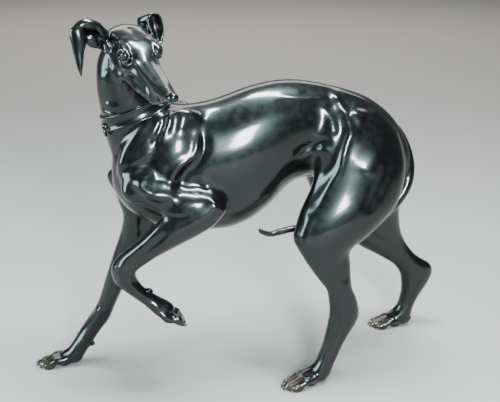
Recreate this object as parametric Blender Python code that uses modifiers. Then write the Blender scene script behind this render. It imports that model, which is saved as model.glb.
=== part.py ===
"""A standing greyhound, cast in bronze as one piece.

The dog steps forward along -X, on three paws, with its left foreleg raised, and turns its head
back over its left shoulder. +Z is up, and the origin is on the floor under the middle of its box.
Forms are drawn in millimetres of a dog 710 mm tall at the shoulders, and scale with its height.
"""
import math

import bmesh
import bpy
import numpy as np
from mathutils import Matrix, Vector

WITHERS_HEIGHT = 0.71      # floor to the top of the shoulders
COLLAR_WIDTH = 0.032       # band round the neck, measured along it
COLLAR_PROUD = 0.004       # how far the band stands off the neck
EAR_THICKNESS = 0.011      # wall of an ear near its root
NAIL_LENGTH = 0.007        # what a nail shows past its toe
EYE_RADIUS = 0.0125        # eye with its lids
TAIL_ROOT_RADIUS = 0.022
TAIL_TIP_RADIUS = 0.0055
TRIANGLES = 9400           # faces of the finished cast

DRAWN_HEIGHT = 710
SHARE = WITHERS_HEIGHT / DRAWN_HEIGHT
NEAR = -1                  # the dog's left side, at -Y
FAR = 1
VOXEL = 6.0                # grain of the skin, in drawn millimetres
SIDES = 40                 # points round a loft's section
STEPS = 5                  # sections between two drawn ones


def drawn(size):
    """Give a real size in the drawing's millimetres."""
    return size / SHARE


def flow(rows, steps=STEPS):
    """Pass a smooth curve through rows of numbers and read it at even steps."""
    rows = np.array(rows, float)
    before = np.vstack([2 * rows[0] - rows[1], rows[:-1]])
    after = np.vstack([rows[1:], 2 * rows[-1] - rows[-2]])
    slope = (after - before) / 2
    out = []
    for i in range(len(rows) - 1):
        for k in range(steps):
            t = k / steps
            out.append((2 * t ** 3 - 3 * t ** 2 + 1) * rows[i] + (t ** 3 - 2 * t ** 2 + t) * slope[i]
                       + (3 * t ** 2 - 2 * t ** 3) * rows[i + 1] + (t ** 3 - t ** 2) * slope[i + 1])
    out.append(rows[-1])
    return np.array(out)


def ring(centre, out, side, egg=0.0):
    """Give one closed section; egg widens it towards out."""
    points = []
    for k in range(SIDES):
        angle = 2 * math.pi * k / SIDES
        u, v = math.cos(angle), math.sin(angle)
        points.append(centre + out * u + side * v * (1 + egg * u))
    return points


def loft(rings):
    """Make a closed body through sections of equal count."""
    body = bmesh.new()
    loops = [[body.verts.new([float(c) for c in p]) for p in section] for section in rings]
    for one, two in zip(loops, loops[1:]):
        for k in range(SIDES):
            n = (k + 1) % SIDES
            body.faces.new((one[k], one[n], two[n], two[k]))
    body.faces.new(loops[0][::-1])
    body.faces.new(loops[-1])
    bmesh.ops.recalc_face_normals(body, faces=body.faces)
    if body.calc_volume(signed=True) < 0:
        bmesh.ops.reverse_faces(body, faces=body.faces)
    return body


def edge_loft(rows):
    """Loft between two drawn edges: front x, front z, back x, back z, y and half width."""
    rings = []
    for fx, fz, bx, bz, y, half in flow(rows):
        front = np.array([fx, y, fz])
        back = np.array([bx, y, bz])
        rings.append(ring((front + back) / 2, (front - back) / 2, np.array([0, half, 0])))
    return loft(rings)


def tube(rows, up=(0, 0, 1)):
    """Loft round a path: x, y, z, radius."""
    rows = flow(rows)
    path = rows[:, :3]
    heading = np.gradient(path, axis=0)
    rings = []
    for point, ahead, radius in zip(path, heading, rows[:, 3]):
        ahead = ahead / np.linalg.norm(ahead)
        side = np.cross(ahead, up)
        side = side / np.linalg.norm(side)
        rings.append(ring(point, np.cross(side, ahead) * radius, side * radius))
    return loft(rings)


def blob(centre, along, half_sizes):
    """Make an ellipsoid: its first half size lies along a direction."""
    body = bmesh.new()
    bmesh.ops.create_uvsphere(body, u_segments=24, v_segments=14, radius=1)
    turn = Vector(along).to_track_quat("X", "Z").to_matrix().to_4x4()
    body.transform(Matrix.Translation(centre) @ turn @ Matrix.Diagonal((*half_sizes, 1)))
    return body


def limb_blob(start, end, radius):
    """Make an ellipsoid that reaches from one point to another."""
    start, end = Vector(start), Vector(end)
    along = end - start
    return blob((start + end) / 2, along, (along.length / 2, radius, radius))


def head_frame():
    """Place the head: its middle lies between the ears, and X, Y, Z are ahead, left and up."""
    yaw, pitch, roll = math.radians(105), math.radians(15), math.radians(2)
    ahead = np.array([-math.cos(yaw) * math.cos(pitch), -math.sin(yaw) * math.cos(pitch),
                      -math.sin(pitch)])
    left = np.cross((0, 0, 1), ahead)
    left = left / np.linalg.norm(left)
    up = np.cross(ahead, left)
    turned_left = left * math.cos(roll) + up * math.sin(roll)
    turned_up = up * math.cos(roll) - left * math.sin(roll)
    frame = Matrix((ahead, turned_left, turned_up)).transposed().to_4x4()
    return Matrix.Translation((-280, -13, 857)) @ frame


def trunk():
    """Chest, ribs, loins and croup: x, middle z, reach up, reach down, half width."""
    rows = [(-330, 545, 30, 30, 28), (-318, 550, 62, 58, 50), (-295, 560, 95, 100, 66),
            (-255, 575, 115, 145, 78), (-200, 585, 121, 178, 86), (-140, 590, 120, 190, 94),
            (-90, 592, 125, 196, 99), (-50, 595, 134, 196, 101), (-5, 600, 144, 184, 99),
            (40, 610, 144, 164, 93), (81, 622, 136, 133, 84), (113, 635, 122, 125, 77),
            (146, 640, 112, 126, 72), (190, 635, 107, 130, 70), (240, 625, 103, 132, 72),
            (290, 608, 100, 130, 73), (335, 585, 92, 120, 68), (368, 562, 80, 105, 56),
            (394, 540, 60, 80, 42), (412, 522, 36, 48, 24)]
    rings = []
    for x, z, up, down, half in flow(rows):
        lower = np.array([x, 0, z + (up - down) / 2])
        rings.append(ring(lower, np.array([0, 0, (up + down) / 2]), np.array([0, half, 0]), 0.12))
    return loft(rings)


NECK = [(-312, 548, -70, 640, 0, 70), (-324, 585, -105, 690, 0, 69), (-336, 628, -150, 708, 0, 65),
        (-342, 661, -188, 716, -1, 60), (-345, 694, -206, 742, -3, 56), (-351, 742, -222, 775, -6, 53),
        (-351, 788, -234, 806, -10, 52), (-344, 826, -240, 836, -14, 50), (-325, 862, -258, 862, -18, 40)]


def neck():
    return edge_loft(NECK)


def collar():
    """Band round the neck: the neck's own sections, set out by its thickness."""
    low, high = np.array(NECK[3], float), np.array(NECK[4], float)
    length = math.hypot((low[0] + low[2] - high[0] - high[2]) / 2, (low[1] + low[3] - high[1] - high[3]) / 2)
    middle = (low + high) / 2
    reach = (high - low) / 2 * drawn(COLLAR_WIDTH) / length
    rings = []
    for step in (-1, -0.8, 0, 0.8, 1):
        row = middle + reach * step
        proud = drawn(COLLAR_PROUD) * (1 if abs(step) < 0.9 else 0.5)
        front, back = np.array([row[0], row[4], row[1]]), np.array([row[2], row[4], row[3]])
        out = (front - back) / 2
        out = out * (1 + proud / np.linalg.norm(out))
        rings.append(ring((front + back) / 2, out, np.array([0, row[5] + proud, 0])))
    return loft(rings)


def collar_knob():
    """Knob in front of the band, with the lug that hangs below it."""
    return [blob((-339, -30, 676), (0, 1, 0.3), (10, 9, 8)), blob((-341, -32, 662), (0.2, 0, -1), (12, 9, 6))]


def near_shoulder():
    return [blob((-222, -58, 632), (-160, 0, -120), (118, 24, 58)),
            blob((-190, -66, 590), (-60, 0, -140), (82, 32, 62)),
            blob((-262, -78, 540), (-90, 0, -26), (56, 30, 36)),
            limb_blob((-312, -72, 560), (-150, -100, 488), 36),
            limb_blob((-240, -88, 500), (-72, -108, 490), 38)]


def far_shoulder():
    return [blob((-222, 58, 625), (-160, 0, -130), (118, 24, 58)),
            blob((-200, 64, 560), (-60, 0, -140), (80, 32, 58)),
            limb_blob((-338, 70, 540), (-205, 82, 430), 40),
            limb_blob((-250, 66, 560), (-190, 82, 425), 44)]


def near_foreleg():
    """Raised leg: elbow to wrist, then back along the pastern."""
    rows = [(-122, 528, -78, 482, -106, 32), (-152, 512, -106, 450, -107, 35),
            (-186, 492, -144, 427, -106, 34), (-219, 477, -182, 408, -104, 32),
            (-254, 448, -216, 391, -102, 29), (-283, 421, -243, 377, -100, 26),
            (-311, 399, -266, 361, -97, 24), (-334, 378, -283, 349, -94, 23.5),
            (-348, 355, -291, 338, -92, 24), (-347, 332, -290, 325, -91, 23),
            (-339, 312, -284, 312, -90, 21), (-322, 293, -277, 300, -90, 19.5),
            (-300, 273, -266, 287, -90, 19), (-279, 254, -251, 276, -90, 20),
            (-258, 238, -233, 263, -90, 23), (-240, 222, -214, 250, -90, 24),
            (-226, 210, -202, 236, -90, 20)]
    return edge_loft(rows)


def far_foreleg():
    rows = [(-330, 520, -170, 560, 68, 38), (-320, 465, -180, 480, 76, 36),
            (-308, 415, -200, 428, 81, 33), (-316, 368, -237, 350, 86, 29),
            (-334, 318, -268, 297, 89, 26), (-352, 268, -297, 248, 91, 24),
            (-366, 228, -320, 207, 93, 23), (-384, 178, -341, 162, 96, 23.5),
            (-402, 143, -358, 124, 99, 23), (-421, 114, -382, 92, 101, 20),
            (-440, 88, -400, 66, 102, 19), (-458, 62, -419, 38, 103, 21),
            (-474, 42, -434, 16, 103, 24), (-492, 34, -450, 6, 103, 22)]
    return edge_loft(rows)


def near_haunch():
    rows = [(158, 700, 300, 684, -42, 30), (142, 655, 345, 640, -52, 44), (140, 605, 364, 590, -60, 54),
            (146, 558, 372, 540, -67, 58), (132, 507, 364, 490, -75, 59), (107, 464, 345, 453, -86, 56),
            (91, 427, 315, 424, -95, 50), (83, 398, 280, 392, -101, 43), (90, 372, 240, 370, -105, 36),
            (105, 348, 226, 348, -107, 30)]
    return edge_loft(rows)


def near_hind_leg():
    rows = [(107, 462, 335, 452, -88, 50), (89, 415, 298, 410, -97, 45), (84, 390, 270, 385, -101, 41),
            (95, 366, 240, 369, -105, 36), (110, 340, 226, 348, -107, 30), (127, 313, 229, 315, -109, 27),
            (148, 284, 231, 283, -110, 25), (167, 258, 236, 252, -111, 23), (175, 225, 249, 222, -111, 22),
            (178, 190, 257, 182, -111, 23), (174, 160, 250, 158, -112, 22), (169, 135, 236, 134, -113, 20),
            (163, 107, 219, 105, -114, 19), (152, 76, 205, 72, -115, 19), (141, 52, 193, 44, -116, 21),
            (126, 38, 182, 18, -117, 25), (108, 34, 166, 6, -118, 24)]
    return edge_loft(rows)


def far_haunch():
    rows = [(158, 700, 320, 690, 42, 30), (138, 655, 375, 640, 52, 44), (132, 605, 412, 590, 60, 54),
            (140, 545, 426, 540, 66, 58), (160, 490, 430, 490, 74, 57), (182, 440, 432, 450, 82, 53),
            (205, 395, 434, 410, 90, 47), (238, 352, 434, 375, 97, 40)]
    return edge_loft(rows)


def far_hind_leg():
    rows = [(182, 440, 430, 450, 84, 48), (205, 392, 437, 408, 92, 44), (242, 346, 437, 370, 99, 38),
            (288, 303, 443, 328, 104, 32), (335, 263, 454, 292, 109, 28), (392, 228, 474, 256, 113, 24),
            (437, 197, 508, 217, 116, 22), (460, 166, 552, 186, 118, 23), (467, 136, 560, 158, 119, 22),
            (468, 108, 546, 124, 119, 20), (465, 80, 528, 94, 120, 19), (457, 56, 512, 62, 120, 21),
            (443, 42, 502, 26, 120, 25), (426, 36, 486, 8, 120, 24)]
    return edge_loft(rows)


def tail():
    root, tip = drawn(TAIL_ROOT_RADIUS), drawn(TAIL_TIP_RADIUS)
    path = [(335, 0, 640), (366, -3, 614), (387, -9, 580), (398, -18, 545), (399, -28, 510), (386, -38, 474),
            (352, -46, 434), (300, -52, 404), (225, -52, 388), (158, -50, 390), (104, -52, 399),
            (66, -56, 396), (40, -60, 393), (20, -62, 399), (10, -62, 408)]
    rows = []
    for i, point in enumerate(path):
        share = i / (len(path) - 1)
        rows.append((*point, root + (tip - root) * share ** 0.8))
    return tube(rows, up=(0, 1, 0))


def placed(body, frame):
    body.transform(frame)
    return body


def closed_flow(points):
    """Pass a smooth closed outline through points and read it at even places."""
    points = np.array(points, float)
    line = flow(np.vstack([points[-1:], points, points[:2]]), 8)[8:-8]
    length = np.concatenate([[0], np.cumsum(np.linalg.norm(np.diff(line, axis=0), axis=1))])
    wanted = np.linspace(0, length[-1], SIDES, endpoint=False)
    return np.stack([np.interp(wanted, length, line[:, k]) for k in range(2)], axis=1)


def skull(frame):
    """Head from the nape to the nose; below the cheek and lip edge the flesh steps in."""
    # ahead, top, then the ridge, the cheek or lip edge and the jaw as half width and height, bottom
    rows = [(-55, -2, 18, -8, 28, -22, 20, -40, -48), (-32, 28, 28, 19, 46, -12, 36, -46, -62),
            (-8, 39, 35, 31, 52, 0, 44, -46, -68), (15, 42, 36, 36, 53, 2, 46, -44, -68),
            (40, 42, 34, 36, 50, -12, 44, -44, -66), (60, 40, 32, 34, 49, -22, 40, -44, -65),
            (80, 37, 30, 31, 46, -22, 37, -45, -64), (97, 30, 27, 25, 41, -18, 33, -46, -64),
            (112, 22, 23, 16, 36, -13, 29, -48, -64), (128, 16, 22, 8.5, 32, -10, 26, -50, -64),
            (145, 13, 21, 4.5, 29, -12, 23, -49, -62), (165, 10.5, 20.5, 2.5, 27, -16, 20.5, -46, -58),
            (185, 8.5, 19.5, 1, 25, -19, 18.5, -44, -54), (198, 7.5, 19, 0, 24, -25, 17, -44, -51),
            (208, 7, 18.5, -1, 22, -38, 15, -45, -48), (220, 6.5, 18, -1.5, 19.5, -40, 13, -42, -44),
            (236, 6.5, 17, -2, 17.5, -31, 11, -34, -36), (252, 7.5, 15.5, -1.5, 15.5, -21, 10, -24, -26),
            (264, 9, 13.5, 0, 14, -12, 9, -15, -17), (275, 11, 12, 3, 12.5, -6, 9, -9, -11),
            (283, 10, 10, 4, 10.5, -2, 7, -6, -7), (287, 6, 6, 3, 6, 0, 4, -2, -3)]
    step_in, step_down = 0.84, 6
    rings = []
    for ahead, top, ridge, ridge_up, edge, edge_up, jaw, jaw_up, bottom in flow(rows):
        below = max(edge_up - step_down, (edge_up + jaw_up) / 2)
        half = [(ridge, ridge_up), ((ridge + edge) / 2, (ridge_up + edge_up) / 2), (edge, edge_up),
                (edge * step_in, below), (jaw, jaw_up)]
        outline = [(0, top), *half, (0, bottom), *((-w, u) for w, u in reversed(half))]
        rings.append([(ahead, y, z) for y, z in closed_flow(outline)])
    return placed(loft(rings), frame)


def face_forms(frame):
    """Brow, cheekbone, jaw muscle and throat on both sides: place, heading and half sizes on the left."""
    forms = [((84, 32, 30), (1, 0.3, -0.1), (20, 8, 6)), ((74, 42, -18), (1, -0.16, 0.05), (30, 6, 6)),
             ((27, 52, 6), (0.3, -0.25, -1), (18, 5, 6)), ((50, 34, -42), (1, -0.1, 0.12), (40, 14, 22)),
             ((16, 40, -40), (0.2, 0, -1), (44, 14, 22)), ((48, 26, -78), (0.6, 0, -1), (36, 16, 24))]
    bodies = []
    for side in (NEAR, FAR):
        mirror = np.array([1, -side, 1])
        for place, along, half_sizes in forms:
            bodies.append(placed(blob(place * mirror, along * mirror, half_sizes), frame))
    return bodies


def eyes(frame):
    radius = drawn(EYE_RADIUS)
    return [placed(blob((97, side * 38, 14), (0.62, side * 0.76, 0.18), (radius * 0.9, radius, radius)), frame)
            for side in (NEAR, FAR)]


def leaf(frame, rows):
    """Ear wall between two edges: each row is an edge, the other edge, how far it bulges, its wall.

    A bulge above 0 is rounded towards the muzzle and one below 0 is hollow there; the wall is a
    share of the ear's thickness.
    """
    rows = flow([(*one, *two, bulge, wall) for one, two, bulge, wall in rows])
    headings = np.gradient((rows[:, :3] + rows[:, 3:6]) / 2, axis=0)
    rings = []
    for row, heading in zip(rows, headings):
        one, two, bulge, wall = row[:3], row[3:6], row[6], row[7]
        half = np.linalg.norm(two - one) / 2
        across = (two - one) / 2 / half
        face = np.cross(across, heading)
        face = face / np.linalg.norm(face)
        if face[0] < 0:
            face = -face
        points = []
        for k in range(SIDES):
            angle = 2 * math.pi * k / SIDES
            u = math.cos(angle)
            v = math.copysign(math.sqrt(abs(math.sin(angle))), math.sin(angle))
            out = across * 2 * bulge * u + face * half          # square to the bulging leaf
            out = out / np.linalg.norm(out) * wall * drawn(EAR_THICKNESS) / 2
            points.append((one + two) / 2 + across * half * u + face * bulge * (1 - u * u) + out * v)
        rings.append(points)
    return placed(loft(rings), frame)


def right_ear(frame):
    """Far ear from the muzzle's side: a rolled rim, a cup and a lobe below it, and a hanging flap."""
    flap = [((8, -116, 54), (12, -98, 54), 3, 0.8), ((10, -127, 45), (18, -100, 44), 5, 1.1),
            ((13, -129, 34), (24, -97, 29), 6, 1.1), ((21, -127, 16), (28, -100, 14), 5, 1.0),
            ((26, -126, 2), (32, -105, 2), 4, 0.95), ((34, -124, -14), (40, -109, -16), 3, 0.9),
            ((42, -122, -30), (45, -113, -31), 2, 0.7), ((49, -119, -44), (50, -116, -45), 0, 0.4)]
    roll = [(6, -36, 18, 12), (8, -50, 27, 10), (10, -61, 38, 10), (9, -70, 49, 10), (8, -82, 53, 12),
            (8, -96, 54, 12), (10, -108, 49, 11), (13, -116, 40, 9)]
    cup = [((6, -40, 16), (14, -50, -10), -5, 1.1), ((8, -60, 32), (16, -66, -2), -7, 0.9),
           ((8, -78, 47), (16, -80, 3), -10, 0.9), ((8, -94, 50), (18, -92, 10), -9, 0.9),
           ((14, -106, 42), (22, -98, 22), -4, 0.9)]
    lobe = blob((22, -84, 20), (0.1, 0.75, -0.62), (19, 7, 13))
    return [leaf(frame, flap), placed(tube(roll, up=(1, 0, 0.2)), frame), leaf(frame, cup), placed(lobe, frame)]


def left_ear(frame):
    """An open cup, with its tip folded back."""
    cup = [((14, 46, -8), (16, 64, -12), -3, 1.1), ((22, 58, 4), (20, 75, -2), -7, 0.95),
           ((18, 54, 18), (15, 80, 11), -13, 0.95), ((10, 48, 34), (10, 82, 30), -18, 0.95),
           ((4, 47, 46), (5, 79, 48), -17, 0.95), ((0, 51, 55), (1, 73, 59), -10, 0.95),
           ((-3, 57, 61), (-2, 65, 63), -2, 0.8)]
    tip = [((-2, 60, 61), (-2, 54, 40), 4, 0.95), ((-9, 53, 57), (-8, 48, 34), 5, 0.95),
           ((-18, 44, 51), (-17, 42, 28), 4, 0.95), ((-25, 39, 46), (-24, 38, 26), 2, 0.9),
           ((-30, 35, 42), (-29, 35, 26), 0, 0.8)]
    root = [(-6, 30, 14, 16), (-8, 44, 20, 15), (-10, 58, 26, 11)]
    return [leaf(frame, cup), leaf(frame, tip), placed(tube(root, up=(1, 0, 0.2)), frame)]


def foot(frame, length, width, radius, toe_drop=0):
    """Four toes with nails and pads: X runs to the toes, Y across, Z is the top of the foot."""
    bodies = []
    nail = drawn(NAIL_LENGTH)
    for number in range(4):
        across = (number - 1.5) / 1.5
        reach = length * (1.0 if abs(across) < 0.5 else 0.88)
        spread = width * 0.34 * across
        rows = [(-0.15 * length, spread * 0.5, 0.26 * length, radius * 1.0),
                (0.18 * length, spread * 0.75, 0.235 * length, radius),
                (0.40 * reach, spread * 0.95, 0.205 * length, radius),
                (0.58 * reach, spread, 0.19 * length, radius * 1.08),
                (0.74 * reach, spread * 1.02, 0.13 * length - toe_drop, radius * 0.92),
                (0.88 * reach, spread * 1.04, 0.09 * length - toe_drop, radius * 0.96),
                (0.98 * reach, spread * 1.04, 0.075 * length - toe_drop, radius * 0.7)]
        bodies.append(placed(tube(rows), frame))
        claw = [(0.86 * reach, spread * 1.04, 0.12 * length - toe_drop, 4.6),
                (0.97 * reach, spread * 1.05, 0.11 * length - toe_drop, 4.2),
                (0.97 * reach + nail, spread * 1.05, 0.045 * length - toe_drop, 2.2)]
        bodies.append(placed(tube(claw), frame))
        bodies.append(placed(blob((0.80 * reach, spread, 5 - toe_drop), (1, 0, 0),
                                  (0.15 * length, radius, 9)), frame))
    bodies.append(placed(blob((0.30 * length, 0, 7), (1, 0, 0), (0.20 * length, width * 0.34, 12)), frame))
    bodies.append(placed(blob((0.10 * length, 0, 0.17 * length), (1, 0, 0),
                              (0.30 * length, width * 0.42, 0.15 * length)), frame))
    return bodies


def foot_frame(heel, heading, slope=0.0, roll=0.0):
    """Place a foot: heading turns it about the vertical, slope tips its toes down."""
    return (Matrix.Translation(heel) @ Matrix.Rotation(math.radians(heading), 4, "Z")
            @ Matrix.Rotation(math.radians(slope), 4, "Y") @ Matrix.Rotation(math.radians(roll), 4, "X"))


def feet():
    near_hind = foot(foot_frame((160, -117, 0), 192), 105, 58, 8.8)
    far_hind = foot(foot_frame((484, 120, 0), 180), 102, 58, 8.8)
    far_fore = foot(foot_frame((-452, 103, 0), 180), 98, 56, 8.6)
    near_fore = foot(foot_frame((-240, -90, 266), 0, 50, 180), 95, 60, 10, 4)
    pads = [blob((-262, -90, 285), (1, 0, -1), (10, 9, 8)), blob((-408, 101, 54), (1, 0, -1), (10, 9, 8))]
    return near_hind + far_hind + far_fore + near_fore + pads


def fuse(name, bodies, voxel, spread):
    """Join bodies into one skin and soften it by about the given spread."""
    whole = bmesh.new()
    for body in bodies:
        piece = bpy.data.meshes.new("piece")
        body.to_mesh(piece)
        body.free()
        whole.from_mesh(piece)
        bpy.data.meshes.remove(piece)
    mesh = bpy.data.meshes.new(name)
    whole.to_mesh(mesh)
    whole.free()
    item = bpy.data.objects.new(name, mesh)
    bpy.context.scene.collection.objects.link(item)
    skin = item.modifiers.new("skin", "REMESH")
    skin.mode = "VOXEL"
    skin.voxel_size = voxel
    skin.adaptivity = 0
    soften = item.modifiers.new("soften", "SMOOTH")
    soften.factor = 0.5
    soften.iterations = max(1, round(4 * spread * spread / (voxel * voxel)))
    return settled(item)


def settled(item):
    """Take the shape that an object's modifiers make, and remove the object."""
    bpy.context.view_layer.update()
    result = bmesh.new()
    seen = item.evaluated_get(bpy.context.evaluated_depsgraph_get())
    mesh = bpy.data.meshes.new_from_object(seen)
    result.from_mesh(mesh)
    bpy.data.meshes.remove(mesh)
    old = item.data
    bpy.data.objects.remove(item)
    bpy.data.meshes.remove(old)
    return result


# Carving seen from one side: a line in x and z, how wide it runs and how high it stands (below 0, how deep)
NEAR_CARVING = [
    ([(188, 724), (197, 715), (207, 695), (213, 670), (217, 649), (209, 627), (199, 599), (191, 563),
      (173, 534), (150, 503), (127, 473), (110, 442)], 8, 4.5),
    ([(175, 696), (189, 671), (193, 642), (185, 614), (174, 581), (164, 555), (146, 520), (124, 483),
      (107, 450)], 15, -4.5),
    ([(200, 691), (209, 673), (214, 652)], 4.5, -2.5),
    ([(184, 728), (196, 722), (205, 712)], 7, 3),
    ([(228, 693), (240, 683), (259, 668)], 17, 4.5),
    ([(233, 651), (229, 641), (223, 625)], 12, 3),
    ([(294, 595), (276, 582), (261, 564), (248, 545)], 22, 4),
    ([(318, 620), (308, 570), (285, 520), (262, 478), (250, 450)], 16, -3),
    ([(133, 453), (159, 447), (188, 455)], 10, -3.5),
    ([(120, 447), (112, 429), (109, 412)], 10, 4),
    ([(112, 372), (130, 335), (155, 295), (185, 245), (190, 200)], 7, 3),
    ([(150, 380), (180, 330), (205, 285), (222, 240)], 9, -3.5),
    ([(162, 718), (166, 697), (177, 674), (181, 651), (182, 640)], 11, 4),
    ([(80, 596), (112, 604), (140, 614), (161, 624), (176, 632)], 12, -6),
    ([(116, 586), (135, 600), (151, 610), (167, 619)], 9, 4.5),
    ([(40, 722), (69, 728), (103, 723), (151, 721), (180, 719)], 6, 2),
    ([(189, 730), (219, 725), (247, 716), (275, 703), (299, 684), (321, 666)], 8, 2),
    ([(100, 736), (150, 735), (205, 724)], 8, -2),
    ([(-225, 707), (-248, 686), (-274, 662), (-299, 633), (-307, 614), (-310, 591), (-313, 570)], 9, 4),
    ([(-243, 706), (-260, 688), (-284, 664), (-309, 634), (-317, 607), (-320, 588)], 11, -3),
    ([(-203, 710), (-213, 685), (-222, 667), (-231, 648), (-237, 628)], 9, -6),
    ([(-212, 706), (-219, 692), (-230, 671), (-239, 650)], 6, 2.5),
    ([(-195, 710), (-195, 694), (-200, 676), (-212, 657), (-227, 638)], 7, 3.5),
    ([(-183, 710), (-186, 694), (-191, 676), (-198, 655)], 8, -4),
    ([(-174, 710), (-176, 696), (-177, 682), (-180, 666)], 4.5, 2.5),
    ([(-165, 706), (-167, 692), (-170, 678), (-177, 660)], 4.5, 2),
    ([(-238, 623), (-255, 617), (-271, 609), (-287, 605)], 6, 2.5),
    ([(-249, 611), (-268, 603), (-284, 598), (-297, 587)], 6, 2),
    ([(-141, 676), (-136, 654), (-140, 633), (-146, 615), (-160, 605), (-177, 595), (-191, 582),
      (-200, 566), (-203, 547), (-201, 534)], 8, 5),
    ([(-122, 676), (-124, 653), (-123, 634), (-129, 612), (-142, 595), (-160, 580), (-174, 564),
      (-183, 546), (-186, 528)], 11, -6.5),
    ([(-313, 568), (-299, 570), (-287, 577), (-269, 584), (-255, 582), (-248, 576), (-254, 570),
      (-265, 565), (-273, 558), (-270, 545), (-254, 535), (-233, 530), (-211, 532)], 8, 4.5),
    ([(-236, 572), (-238, 556), (-230, 545)], 14, -3),
    ([(-312, 556), (-293, 546), (-274, 525), (-249, 512), (-221, 506), (-196, 512)], 12, -7),
    ([(-147, 577), (-130, 553), (-113, 528), (-100, 512), (-94, 495)], 6, 3.5),
    ([(-150, 560), (-135, 537), (-121, 519), (-110, 502)], 6, -3),
    ([(-140, 532), (-128, 523), (-116, 511), (-104, 495)], 7, 3),
    ([(-164, 509), (-147, 507), (-133, 510), (-127, 518)], 8, 3),
    ([(-160, 487), (-188, 488), (-213, 484), (-228, 474), (-256, 447), (-300, 405), (-326, 370),
      (-330, 345)], 7, 3)]
FAR_CARVING = [
    ([(184, 724), (206, 690), (216, 655), (216, 615), (210, 570), (214, 530), (226, 480)], 9, 4.5),
    ([(182, 690), (192, 655), (192, 615), (188, 575), (194, 530)], 15, -4),
    ([(80, 596), (112, 604), (140, 614), (172, 630)], 12, -6),
    ([(40, 722), (69, 728), (103, 723), (151, 721), (180, 719)], 6, 2),
    ([(189, 730), (219, 725), (247, 716), (275, 703), (299, 684), (321, 666)], 8, 2),
    ([(250, 660), (262, 600), (290, 540), (320, 480)], 20, 4),
    ([(330, 620), (336, 560), (350, 500), (365, 440)], 14, -3.5),
    ([(-225, 707), (-248, 686), (-274, 662), (-299, 633), (-312, 600), (-322, 565)], 9, 4),
    ([(-243, 706), (-260, 688), (-284, 664), (-309, 634)], 11, -3),
    ([(-203, 710), (-213, 685), (-222, 667), (-231, 648)], 9, -4),
    ([(-148, 680), (-142, 640), (-152, 600), (-172, 560), (-182, 510)], 9, 4.5),
    ([(-128, 685), (-122, 640), (-132, 590), (-154, 545)], 12, -5),
    ([(-318, 540), (-280, 520), (-250, 500)], 10, -4)]


def carve(body, side, lines, least=20):
    """Raise or sink lines on the skin that faces one side."""
    body.normal_update()
    points = np.array([v.co for v in body.verts])
    normals = np.array([v.normal for v in body.verts])
    facing = np.clip((side * normals[:, 1] - 0.05) / 0.45, 0, 1) * (side * points[:, 1] > least)
    facing = facing * facing * (3 - 2 * facing)
    push = np.zeros(len(points))
    for line, width, height in lines:
        path = flow(line)
        near = np.full(len(points), np.inf)
        along = np.zeros(len(points))
        for i, (a, b) in enumerate(zip(path, path[1:])):
            step = b - a
            t = np.clip(((points[:, 0] - a[0]) * step[0] + (points[:, 2] - a[1]) * step[1]) / (step @ step), 0, 1)
            gap = np.hypot(points[:, 0] - a[0] - t * step[0], points[:, 2] - a[1] - t * step[1])
            closer = gap < near
            near = np.where(closer, gap, near)
            along = np.where(closer, (i + t) / (len(path) - 1), along)
        ends = np.clip(np.minimum(along, 1 - along) / 0.25, 0, 1)
        fade = 0.1 + 0.9 * ends * ends * (3 - 2 * ends)
        push += height * fade * np.exp(-(near / width) ** 2)
    for vert, shift in zip(body.verts, normals * (push * facing)[:, None]):
        vert.co += Vector(shift)


def cast(voxel):
    """Build the whole dog in the drawing's millimetres."""
    head = head_frame()
    mass = fuse("mass", [trunk(), neck(), near_haunch(), far_haunch(), *near_shoulder(), *far_shoulder()],
                voxel * 1.5, 12)
    limbs = fuse("limbs", [mass, near_foreleg(), far_foreleg(), near_hind_leg(), far_hind_leg(),
                           skull(head), *face_forms(head)], voxel, 5)
    carve(limbs, NEAR, NEAR_CARVING)
    carve(limbs, FAR, FAR_CARVING)
    return fuse("dog", [limbs, tail(), collar(), *collar_knob(), *feet(), *right_ear(head), *left_ear(head),
                        *eyes(head)], voxel * 0.9, 2.5)


def bronze():
    material = bpy.data.materials.new("dark bronze")
    material.use_nodes = True
    shader = material.node_tree.nodes["Principled BSDF"]
    shader.inputs["Base Color"].default_value = (0.028, 0.032, 0.028, 1)
    shader.inputs["Metallic"].default_value = 0.75
    shader.inputs["Roughness"].default_value = 0.28
    return material


def lighten(body, triangles):
    """Thin the skin to a number of triangles, where it is flattest first."""
    mesh = bpy.data.meshes.new("skin")
    bmesh.ops.triangulate(body, faces=body.faces)
    count = len(body.faces)
    body.to_mesh(mesh)
    body.free()
    item = bpy.data.objects.new("skin", mesh)
    bpy.context.scene.collection.objects.link(item)
    thin = item.modifiers.new("thin", "DECIMATE")
    thin.ratio = triangles / count
    thin.use_collapse_triangulate = True
    return settled(item)


def stand(body):
    """Cut the soles flat at the floor, and close them."""
    cut = bmesh.ops.bisect_plane(body, geom=body.verts[:] + body.edges[:] + body.faces[:], dist=0.01,
                                 plane_co=(0, 0, 0), plane_no=(0, 0, 1), clear_inner=True)
    for piece in cut["geom_cut"]:
        if isinstance(piece, bmesh.types.BMVert):
            piece.co.z = 0
    rim = [edge for edge in body.edges if edge.is_boundary]
    bmesh.ops.holes_fill(body, edges=rim, sides=0)
    bmesh.ops.triangulate(body, faces=[face for face in body.faces if len(face.verts) > 3])


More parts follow.
